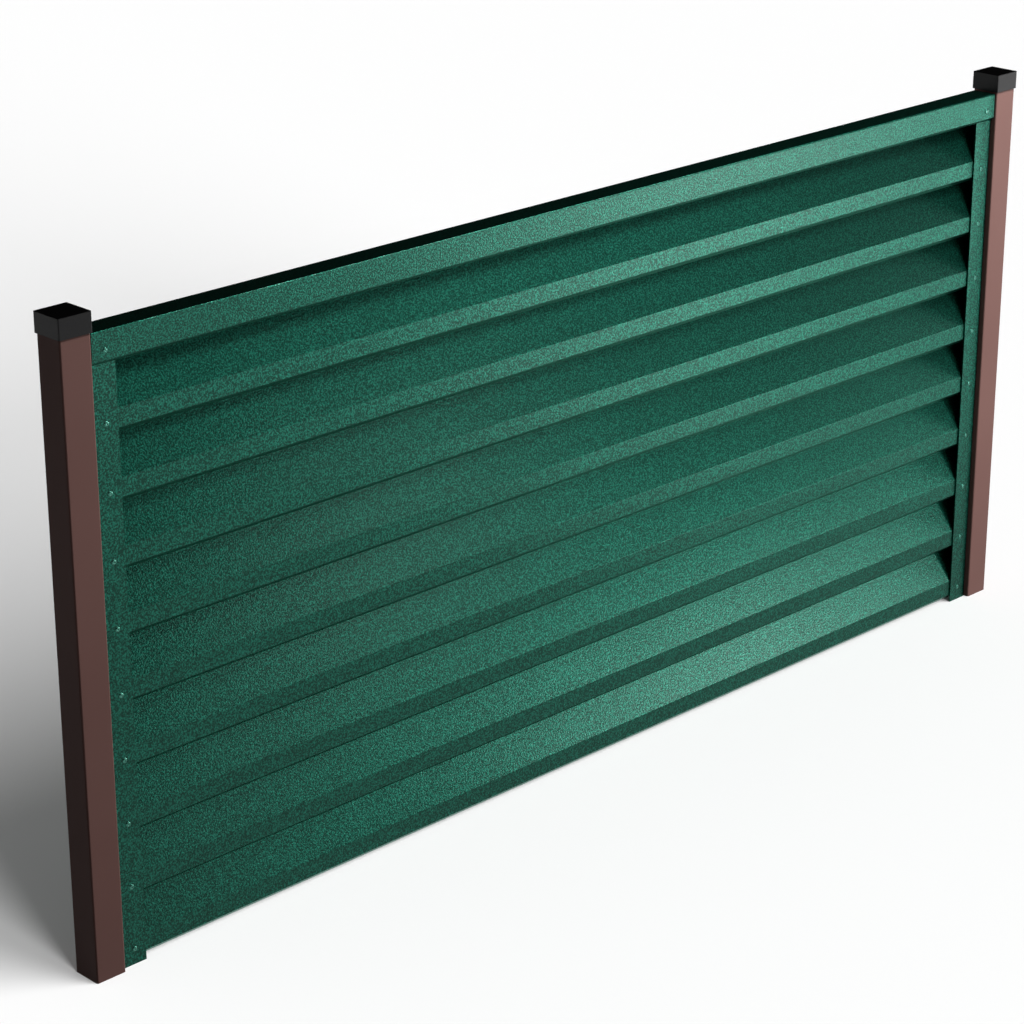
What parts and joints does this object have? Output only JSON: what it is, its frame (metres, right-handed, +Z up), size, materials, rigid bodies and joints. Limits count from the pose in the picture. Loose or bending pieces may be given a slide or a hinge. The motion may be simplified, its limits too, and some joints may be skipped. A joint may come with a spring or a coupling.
{
  "type": "louvred fence panel",
  "caption": "Steel fence bay of folded Z-shaped louvres riveted into side channels under a folded top rail, set between two capped square posts.",
  "frame": {"origin": "axis of the left post at ground level, on the post's lower end face", "axes": "+X along the fence to the right post, +Y to the rear, +Z up"},
  "size_m": [2.465, 0.065, 1.1719],
  "materials": {
    "post_paint": "smooth satin brown powder coat",
    "cap_plastic": "satin black moulded plastic",
    "panel_coating": "fine textured moss green coating on steel sheet"
  },
  "bodies": {
    "root": {"left_post": "post_paint", "right_post": "post_paint", "left_post_cap": "cap_plastic", "right_post_cap": "cap_plastic", "left_side_channel": "panel_coating", "right_side_channel": "panel_coating", "top_rail": "panel_coating", "louvre_1": "panel_coating", "louvre_2": "panel_coating", "louvre_3": "panel_coating", "louvre_4": "panel_coating", "louvre_5": "panel_coating", "louvre_6": "panel_coating", "louvre_7": "panel_coating", "louvre_8": "panel_coating", "louvre_9": "panel_coating"}
  },
  "joints": []
}
